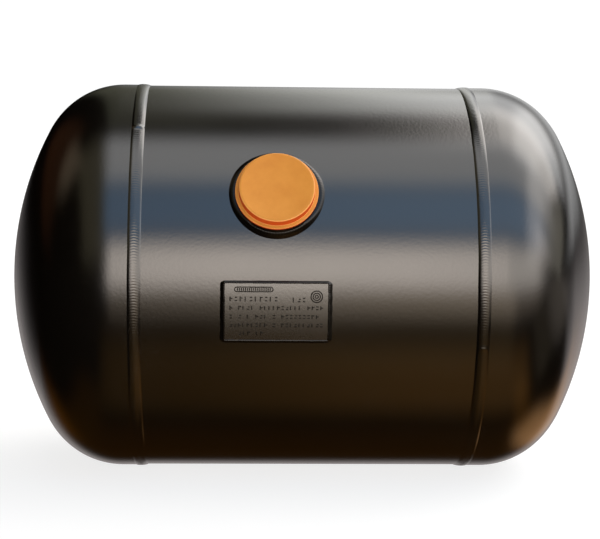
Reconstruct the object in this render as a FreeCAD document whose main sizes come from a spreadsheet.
import FreeCAD, Part
import math
import os
import re

import Sketcher
from FreeCAD import Placement, Rotation, Vector

# Horizontal pressure tank for liquefied gas, in steel: a rolled shell, two dished heads
# joggled into its ends, and a turned valve boss that points forwards and 30 degrees up.
# A loose plastic plug closes the boss, and a welded data plate sits below it.
#
# Frame: +X along the tank, -Y to the front (boss and plate), +Z up. The origin lies under
# the middle of the tank, on the level that its lowest line touches. Sizes are in mm and
# degrees. Within each sub-part the tank's axis is X and local Z points at the feature.

SIZES = {
    # shell and heads
    "shell_radius": 180.0,        # outside radius of the rolled shell
    "wall": 3.5,                  # plate thickness of shell and heads
    "girth_place": 150.5,         # from mid length to the middle of each girth weld
    "head_flange": 18.0,          # straight skirt of a head beyond the weld's middle
    "head_depth": 104.0,          # outside depth of the dished part
    "knuckle_radius": 78.0,       # outside radius between skirt and crown
    "head_proud": 0.7,            # how far a head's skirt stands outside the shell
    "spigot_length": 14.0,        # part of a head that is pushed into the shell
    "spigot_gap": 0.2,            # radial clearance of that part in the shell
    # welds
    "root_gap": 3.0,              # space between two plates that a butt weld fills
    "girth_cap_width": 11.5,
    "girth_cap_height": 0.7,
    "seam_cap_width": 9.0,
    "seam_cap_height": 0.9,
    "seam_angle": 20.0,           # above the horizontal, at the back
    "boss_weld_leg": 4.0,
    "plate_weld_leg": 3.5,
    "weld_gap": 0.05,             # between a bead and the curved face that it lies on
    # valve boss
    "boss_angle": 30.0,           # above the horizontal, at the front
    "boss_place": -28.5,          # along the tank from mid length
    "boss_land": 1.3,             # metal outside the screw holes
    "boss_stand": 2.0,            # face of the boss above the shell's crest
    "boss_length": 22.0,
    "boss_chamfer": 0.8,
    "boss_hole_gap": 0.2,         # radial clearance of the boss in the shell's hole
    "bore_radius": 28.5,          # takes the body of the valve
    "recess_step": 2.0,           # the seal recess is this much wider than the bore
    "recess_depth": 6.0,
    "screw_count": 6,
    "screw_radius": 2.1,          # drilled for M5 threads
    "screw_depth": 12.0,
    "screw_land": 1.4,            # metal between the recess and the screw holes
    # valve plug
    "plug_rim_lap": 5.5,          # the rim reaches this far past the recess
    "plug_rim_thickness": 2.2,
    "plug_crown_lap": 2.3,        # and the crown this far
    "plug_crown_height": 8.0,     # top of the crown above the rim
    "plug_edge": 0.9,             # bevel round the crown
    "plug_wall": 2.0,
    "plug_side_gap": 0.4,         # radial clearance of the plug in the recess
    "plug_seat_gap": 0.3,         # between the rim and the boss
    "plug_floor_gap": 1.5,        # between the skirt and the floor of the recess
    # data plate
    "plate_angle": -3.2,          # above the horizontal, at the front
    "plate_length": 90.0,
    "plate_width": 50.5,
    "plate_thickness": 1.4,
    "plate_weld_rise": 0.4,       # top of the plate's weld above the plate
}

doc = FreeCAD.newDocument("PressureTank")
sheet = doc.addObject("Spreadsheet::Sheet", "Sizes")
for row, (name, value) in enumerate(SIZES.items(), start=1):
    sheet.set(f"A{row}", name)
    sheet.set(f"B{row}", str(value))
    sheet.setAlias(f"B{row}", name)
doc.recompute()

AXIS_HEIGHT = "shell_radius + head_proud + girth_cap_height"
SPIGOT_RADIUS = "shell_radius - wall - spigot_gap"
RECESS_RADIUS = "bore_radius + recess_step"
SCREW_CIRCLE = RECESS_RADIUS + " + screw_land + screw_radius"
BOSS_RADIUS = SCREW_CIRCLE + " + screw_radius + boss_land"
FACE_HEIGHT = "shell_radius + boss_stand"
SEAT_HEIGHT = FACE_HEIGHT + " + plug_seat_gap"
ACROSS = Rotation(Vector(0, 1, 0), 90)      # turns a cylinder's own axis from Z to X
BEAD_SLOPE = 0.8                            # share of a fillet bead's height that is sloped


def formula(text):
    """Write the sheet's name before each of its aliases in a formula."""
    return re.sub(r"[a-z][a-z_]+", lambda word: "Sizes." + word.group(), text)


def bind(thing, **formulas):
    """Bind properties such as Length, or Placement__Base__z, to formulas on the sheet."""
    for prop, text in formulas.items():
        thing.setExpression(prop.replace("__", "."), formula(text))


def size(name):
    return float(sheet.get(name))


# ---------------------------------------------------------------- sketches and bodies

def new_body(label, turn="0", along="0"):
    """A body on the tank's axis, its Z turned about X by `turn` degrees from straight up."""
    body = doc.addObject("PartDesign::Body", label)
    body.Placement = Placement(Vector(0, 0, 1), Rotation(Vector(1, 0, 0), 1))
    bind(body, Placement__Base__x=along, Placement__Base__z=AXIS_HEIGHT,
         Placement__Rotation__Angle=turn)
    return body


def origin_feature(body, role):
    return next(item for item in body.Origin.OriginFeatures if item.Role == role)


def new_sketch(body, plane, name):
    sketch = body.newObject("Sketcher::SketchObject", body.Name + "_" + name)
    sketch.AttachmentSupport = [(origin_feature(body, plane), "")]
    sketch.MapMode = "FlatFace"
    return sketch


def place(sketch, geometry, point, across, up):
    """Hold one point of a sketch at two formulas, measured from its origin."""
    drawn = sketch.getPoint(geometry, point)
    for kind, text, axis, now in (("DistanceX", across, -2, drawn.x),
                                  ("DistanceY", up, -1, drawn.y)):
        if text == "0":
            sketch.addConstraint(Sketcher.Constraint("PointOnObject", geometry, point, axis))
        else:
            held = sketch.addConstraint(Sketcher.Constraint(kind, -1, 1, geometry, point, now))
            sketch.setExpression(f"Constraints[{held}]", formula(text))


def outline(sketch, corners):
    """Draw a closed outline of straight lines through corners given as formulas."""
    count = len(corners)
    start = [Vector(math.cos(math.tau * i / count), math.sin(math.tau * i / count), 0)
             for i in range(count)]
    for i in range(count):
        sketch.addGeometry(Part.LineSegment(start[i], start[(i + 1) % count]))
    for i in range(count):
        after = (i + 1) % count
        sketch.addConstraint(Sketcher.Constraint("Coincident", i, 2, after, 1))
    for i, (across, up) in enumerate(corners):
        place(sketch, i, 1, across, up)


def circle(sketch, across, up, radius):
    index = sketch.addGeometry(Part.Circle(Vector(1, 1, 0), Vector(0, 0, 1), 1))
    place(sketch, index, 3, across, up)
    held = sketch.addConstraint(Sketcher.Constraint("Radius", index, 1))
    sketch.setExpression(f"Constraints[{held}]", formula(radius))


def revolve(body, sketch, axis):
    """Turn a sketch once round its own H_Axis or V_Axis."""
    ring = body.newObject("PartDesign::Revolution", body.Name + "_Revolution")
    ring.Profile = sketch
    ring.ReferenceAxis = (sketch, [axis])
    ring.Angle = 360
    return ring


def pad(body, sketch, length):
    """Push a sketch out by a formula, half to each side of its plane."""
    block = body.newObject("PartDesign::Pad", sketch.Name + "_Pad")
    block.Profile = sketch
    block.SideType = "Symmetric"
    bind(block, Length=length)
    return block


def pocket(body, sketch, depth, forwards=False):
    """Cut a sketch into the body, against its normal or, if `forwards`, along it."""
    cut = body.newObject("PartDesign::Pocket", sketch.Name + "_Pocket")
    cut.Profile = sketch
    cut.Reversed = forwards
    bind(cut, Length=depth)
    return cut


# ------------------------------------------------------------------------- sub-parts

def make_shell():
    """Rolled tube with a slot along its back for the seam weld and a hole for the boss."""
    body = new_body("shell")
    section = new_sketch(body, "XZ_Plane", "wall")
    end = "girth_place - root_gap / 2"
    outline(section, [("-(" + end + ")", "shell_radius - wall"), (end, "shell_radius - wall"),
                      (end, "shell_radius"), ("-(" + end + ")", "shell_radius")])
    revolve(body, section, "H_Axis")

    slot = new_sketch(body, "XY_Plane", "seam")
    slot.AttachmentOffset = Placement(Vector(), Rotation(Vector(1, 0, 0), 1))
    bind(slot, AttachmentOffset__Rotation__Angle="seam_angle - 90")
    outline(slot, [("-girth_place", "-root_gap / 2"), ("girth_place", "-root_gap / 2"),
                   ("girth_place", "root_gap / 2"), ("-girth_place", "root_gap / 2")])
    pocket(body, slot, "2 * shell_radius", forwards=True)

    hole = new_sketch(body, "XY_Plane", "hole")
    hole.AttachmentOffset = Placement(Vector(), Rotation(Vector(1, 0, 0), 1))
    bind(hole, AttachmentOffset__Rotation__Angle="90 - boss_angle")
    circle(hole, "boss_place", "0", BOSS_RADIUS + " + boss_hole_gap")
    pocket(body, hole, "2 * shell_radius", forwards=True)
    return body


def make_head(label, turn):
    """Drawn head: joggled spigot, straight skirt, knuckle and crown, all one wall thick.

    The outline is drawn for the +X end; `turn` swings the finished head about Z.
    """
    body = doc.addObject("PartDesign::Body", label)
    body.Placement = Placement(Vector(), Rotation(Vector(0, 0, 1), turn))
    bind(body, Placement__Base__z=AXIS_HEIGHT)
    sketch = new_sketch(body, "XZ_Plane", "wall")

    skirt = size("shell_radius") + size("head_proud")
    knuckle, wall, depth = size("knuckle_radius"), size("wall"), size("head_depth")
    bend = size("girth_place") + size("head_flange")
    rise = skirt - knuckle
    crown = (depth ** 2 + rise ** 2 - knuckle ** 2) / (2 * (depth - knuckle))
    middle = bend + depth - crown
    meet = math.atan2(rise, bend - middle)

    def arc(across, up, radius, first, last):
        whole = Part.Circle(Vector(across, up, 0), Vector(0, 0, 1), radius)
        return sketch.addGeometry(Part.ArcOfCircle(whole, first, last))

    def line(first, last):
        return sketch.addGeometry(Part.LineSegment(Vector(*first, 0), Vector(*last, 0)))

    outer_crown = arc(middle, 0, crown, 0, meet)
    outer_knuckle = arc(bend, rise, knuckle, meet, math.pi / 2)
    inner_crown = arc(middle, 0, crown - wall, 0, meet)
    inner_knuckle = arc(bend, rise, knuckle - wall, meet, math.pi / 2)

    shoulder = "girth_place + root_gap / 2"
    inside = shoulder + " + wall"
    ramp = inside + " + head_proud + wall + spigot_gap"
    tip = shoulder + " - spigot_length"
    corners = [("girth_place + head_flange", "shell_radius + head_proud"),
               (shoulder, "shell_radius + head_proud"), (shoulder, SPIGOT_RADIUS),
               (tip, SPIGOT_RADIUS), (tip, SPIGOT_RADIUS + " - wall"),
               (inside, SPIGOT_RADIUS + " - wall"),
               (ramp, "shell_radius + head_proud - wall"),
               ("girth_place + head_flange", "shell_radius + head_proud - wall")]
    here = [Vector(bend - 4 * i, skirt - i, 0) for i in range(len(corners) - 1)]
    here.append(Vector(bend, skirt - wall, 0))
    lines = [line((a.x, a.y), (b.x, b.y)) for a, b in zip(here, here[1:])]
    for i, (across, up) in enumerate(corners[:-1]):
        place(sketch, lines[i], 1, across, up)
    place(sketch, lines[-1], 2, *corners[-1])
    for first, second in zip(lines, lines[1:]):
        sketch.addConstraint(Sketcher.Constraint("Coincident", first, 2, second, 1))
    sketch.addConstraint(Sketcher.Constraint("Coincident", outer_knuckle, 2, lines[0], 1))
    sketch.addConstraint(Sketcher.Constraint("Coincident", inner_knuckle, 2, lines[-1], 2))

    pole = line((bend + depth, 0), (bend + depth - wall, 0))
    sketch.addConstraint(Sketcher.Constraint("Coincident", outer_crown, 1, pole, 1))
    sketch.addConstraint(Sketcher.Constraint("Coincident", inner_crown, 1, pole, 2))
    place(sketch, pole, 1, "girth_place + head_flange + head_depth", "0")
    place(sketch, pole, 2, "girth_place + head_flange + head_depth - wall", "0")

    place(sketch, outer_knuckle, 3, "girth_place + head_flange",
          "shell_radius + head_proud - knuckle_radius")
    sketch.addConstraint(Sketcher.Constraint("Coincident", outer_knuckle, 3, inner_knuckle, 3))
    for crown_arc, knuckle_arc in ((outer_crown, outer_knuckle), (inner_crown, inner_knuckle)):
        sketch.addConstraint(Sketcher.Constraint("PointOnObject", crown_arc, 3, -1))
        sketch.addConstraint(Sketcher.Constraint("Tangent", crown_arc, 2, knuckle_arc, 1))
    revolve(body, sketch, "H_Axis")
    return body


def make_girth_weld(label, turn):
    """Butt weld that fills the gap between shell and head, with a low cap over both."""
    body = doc.addObject("PartDesign::Body", label)
    body.Placement = Placement(Vector(), Rotation(Vector(0, 0, 1), turn))
    bind(body, Placement__Base__z=AXIS_HEIGHT)
    section = new_sketch(body, "XZ_Plane", "bead")
    root = SPIGOT_RADIUS + " + weld_gap"
    near, far = "girth_place - root_gap / 2", "girth_place + root_gap / 2"
    low, high = "shell_radius + weld_gap", "shell_radius + head_proud + weld_gap"
    outline(section, [
        (near, root), (far, root), (far, high), ("girth_place + girth_cap_width / 2", high),
        ("girth_place + girth_cap_width / 5", "shell_radius + head_proud + girth_cap_height"),
        ("girth_place - girth_cap_width / 5", "shell_radius + girth_cap_height"),
        ("girth_place - girth_cap_width / 2", low), (near, low)])
    revolve(body, section, "H_Axis")
    return body


def make_seam_weld():
    """Butt weld along the back of the shell; its cap stops where the girth welds lie."""
    body = new_body("seam_weld", turn="seam_angle - 90")
    root = new_sketch(body, "YZ_Plane", "root")
    outline(root, [("-root_gap / 2", "shell_radius - wall"),
                   ("root_gap / 2", "shell_radius - wall"),
                   ("root_gap / 2", "shell_radius + seam_cap_height / 2"),
                   ("-root_gap / 2", "shell_radius + seam_cap_height / 2")])
    pad(body, root, "2 * girth_place - girth_cap_width - 2 * weld_gap")
    low, high = "shell_radius + weld_gap", "shell_radius + seam_cap_height"
    cap = new_sketch(body, "YZ_Plane", "cap")
    outline(cap, [("-seam_cap_width / 2", low), ("seam_cap_width / 2", low),
                  ("seam_cap_width / 5", high), ("-seam_cap_width / 5", high)])
    pad(body, cap, "2 * girth_place - girth_cap_width - 2 * weld_gap")
    ends = new_sketch(body, "YZ_Plane", "ends")
    under = "shell_radius - weld_gap"
    outline(ends, [("-root_gap / 2", "shell_radius - wall"),
                   ("root_gap / 2", "shell_radius - wall"),
                   ("root_gap / 2", under), ("-root_gap / 2", under)])
    pad(body, ends, "2 * girth_place - root_gap")
    return body


def make_valve_boss():
    """Turned ring: face, seal recess, bore, and six blind screw holes in the face."""
    body = new_body("valve_boss", turn="90 - boss_angle", along="boss_place")
    section = new_sketch(body, "XZ_Plane", "ring")
    foot = FACE_HEIGHT + " - boss_length"
    outline(section, [
        ("bore_radius", foot), (BOSS_RADIUS, foot),
        (BOSS_RADIUS, FACE_HEIGHT + " - boss_chamfer"),
        (BOSS_RADIUS + " - boss_chamfer", FACE_HEIGHT), (RECESS_RADIUS, FACE_HEIGHT),
        (RECESS_RADIUS, FACE_HEIGHT + " - recess_depth"),
        ("bore_radius", FACE_HEIGHT + " - recess_depth")])
    revolve(body, section, "V_Axis")

    drill = new_sketch(body, "XY_Plane", "screw")
    drill.AttachmentOffset = Placement(Vector(0, 0, 1), Rotation())
    bind(drill, AttachmentOffset__Base__z=FACE_HEIGHT)
    circle(drill, SCREW_CIRCLE, "0", "screw_radius")
    first = pocket(body, drill, "screw_depth")
    holes = body.newObject("PartDesign::PolarPattern", "valve_boss_holes")
    holes.Originals = [first]
    holes.Axis = (origin_feature(body, "Z_Axis"), [""])
    holes.Angle = 360
    bind(holes, Occurrences="screw_count")
    body.Tip = holes
    return body


def make_valve_plug():
    """Moulded cup: a skirt that drops into the recess, a flat rim and a raised crown."""
    body = new_body("valve_plug", turn="90 - boss_angle", along="boss_place")
    section = new_sketch(body, "XZ_Plane", "cup")
    skirt = RECESS_RADIUS + " - plug_side_gap"
    rim, crown = RECESS_RADIUS + " + plug_rim_lap", RECESS_RADIUS + " + plug_crown_lap"
    rim_top = SEAT_HEIGHT + " + plug_rim_thickness"
    top = rim_top + " + plug_crown_height"
    low = FACE_HEIGHT + " - recess_depth + plug_floor_gap"
    outline(section, [
        ("0", top + " - plug_wall"), (skirt + " - plug_wall", top + " - plug_wall"),
        (skirt + " - plug_wall", low), (skirt, low), (skirt, SEAT_HEIGHT),
        (rim, SEAT_HEIGHT), (rim, rim_top), (crown, rim_top), (crown, top + " - plug_edge"),
        (crown + " - plug_edge", top), ("0", top)])
    revolve(body, section, "V_Axis")
    return body


# ----------------------------------------------- pieces that lie on the curved shell

def cylinder(name, radius, length, turned=False):
    """A cylinder centred on the local origin along X if `turned`, else standing on it."""
    solid = doc.addObject("Part::Cylinder", name)
    bind(solid, Radius=radius, Height=length)
    if turned:
        solid.Placement = Placement(Vector(1, 0, 0), ACROSS)
        bind(solid, Placement__Base__x="-(" + length + ") / 2")
    return solid


def block(name, length, width):
    """A tall block over the local origin, to cut a rectangle out of a curved layer."""
    solid = doc.addObject("Part::Box", name)
    bind(solid, Length=length, Width=width, Height="2 * shell_radius",
         Placement__Base__x="-(" + length + ") / 2", Placement__Base__y="-(" + width + ") / 2")
    return solid


def boolean(kind, name, base, tool):
    solid = doc.addObject("Part::" + kind, name)
    solid.Base = base
    solid.Tool = tool
    return solid


def layer(name, footprint, height):
    """The part of a layer of this height on the shell that lies within a footprint."""
    reach = "girth_place"
    outer = cylinder(name + "_outside", "shell_radius + " + height, reach, turned=True)
    inner = cylinder(name + "_inside", "shell_radius + weld_gap", reach, turned=True)
    sleeve = boolean("Cut", name + "_sleeve", outer, inner)
    return boolean("Common", name + "_layer", sleeve, footprint)


def chamfered(label, solid, height, at_foot):
    """Slope a bead of this height: bevel the top edges whose middles are `at_foot`."""
    doc.recompute()
    rise = sum(size(word) for word in height.split(" + "))
    top = size("shell_radius") + rise

    def wanted(edge):
        point = edge.valueAt((edge.FirstParameter + edge.LastParameter) / 2)
        on_top = math.isclose(math.hypot(point.y, point.z), top, abs_tol=0.01)
        return on_top and at_foot(point)

    bevel = doc.addObject("Part::Chamfer", label)
    bevel.Base = solid
    bevel.Edges = [(i, BEAD_SLOPE * rise, BEAD_SLOPE * rise)
                   for i, edge in enumerate(solid.Shape.Edges, start=1) if wanted(edge)]
    return bevel


def aim(solid, angle, along):
    """Turn a piece made round the local Z to its angle above the horizontal."""
    solid.Placement = Placement(Vector(0, 0, 1), Rotation(Vector(1, 0, 0), 1))
    bind(solid, Placement__Base__x=along, Placement__Base__z=AXIS_HEIGHT,
         Placement__Rotation__Angle="90 - " + angle)
    return solid


def make_boss_weld():
    """Fillet weld round the boss, up and down over the shell, and no higher than its face."""
    outer = cylinder("boss_weld_foot", BOSS_RADIUS + " + boss_weld_leg", "2 * shell_radius")
    band = layer("boss_weld", outer, "boss_weld_leg")
    inner = cylinder("boss_weld_bore", BOSS_RADIUS + " + weld_gap", "2 * shell_radius")
    square = boolean("Cut", "boss_weld_square", band, inner)

    def at_foot(point):
        return math.isclose(math.hypot(point.x, point.y), outer.Radius.Value, abs_tol=0.01)

    bead = chamfered("boss_weld_bead", square, "boss_weld_leg", at_foot)
    limit = cylinder("boss_weld_limit", BOSS_RADIUS + " + boss_weld_leg",
                     FACE_HEIGHT + " - boss_chamfer")
    flush = boolean("Common", "boss_weld", bead, limit)
    return aim(flush, "boss_angle", "boss_place")


def make_data_plate():
    """Plate rolled to the shell's curve."""
    footprint = block("data_plate_footprint", "plate_length", "plate_width")
    plate = layer("data_plate", footprint, "plate_thickness")
    plate.Label = "data_plate"
    return aim(plate, "plate_angle", "boss_place")


def make_data_plate_weld():
    """Fillet weld all round the plate."""
    outer = block("data_plate_weld_footprint", "plate_length + 2 * plate_weld_leg",
                  "plate_width + 2 * plate_weld_leg")
    height = "plate_thickness + plate_weld_rise"
    band = layer("data_plate_weld", outer, height)
    inner = block("data_plate_weld_window", "plate_length + 2 * weld_gap",
                  "plate_width + 2 * weld_gap")
    frame = boolean("Cut", "data_plate_weld_square", band, inner)

    def at_foot(point):
        return (math.isclose(abs(point.x), outer.Length.Value / 2, abs_tol=0.01)
                or math.isclose(abs(point.y), outer.Width.Value / 2, abs_tol=0.01))

    bead = chamfered("data_plate_weld", frame, height, at_foot)
    return aim(bead, "plate_angle", "boss_place")


sub_parts = [
    make_shell(),
    make_head("head_left", 180), make_head("head_right", 0),
    make_girth_weld("girth_weld_left", 180), make_girth_weld("girth_weld_right", 0),
    make_seam_weld(),
    make_valve_boss(), make_boss_weld(), make_valve_plug(),
    make_data_plate(), make_data_plate_weld(),
]

# ------------------------------------------------------------------ check and export

doc.recompute()
failed = [item.Name for item in doc.Objects if {"Invalid", "Error"} & set(item.State)]
assert not failed, f"failed objects: {failed}"
for item in sub_parts:
    shape = item.Shape
    assert not shape.isNull() and shape.isValid(), f"bad shape: {item.Label}"
    assert len(shape.Solids) == 1, f"{item.Label} has {len(shape.Solids)} solids"

os.makedirs("parts", exist_ok=True)
for item in sub_parts:
    item.Shape.exportStep(f"parts/{item.Label}.step")
    box = item.Shape.BoundBox
    print(f"{item.Label:18s} {item.Shape.Volume / 1000:9.2f} cm3"
          f"  x {box.XMin:7.1f} {box.XMax:7.1f}  y {box.YMin:7.1f} {box.YMax:7.1f}"
          f"  z {box.ZMin:6.1f} {box.ZMax:6.1f}")
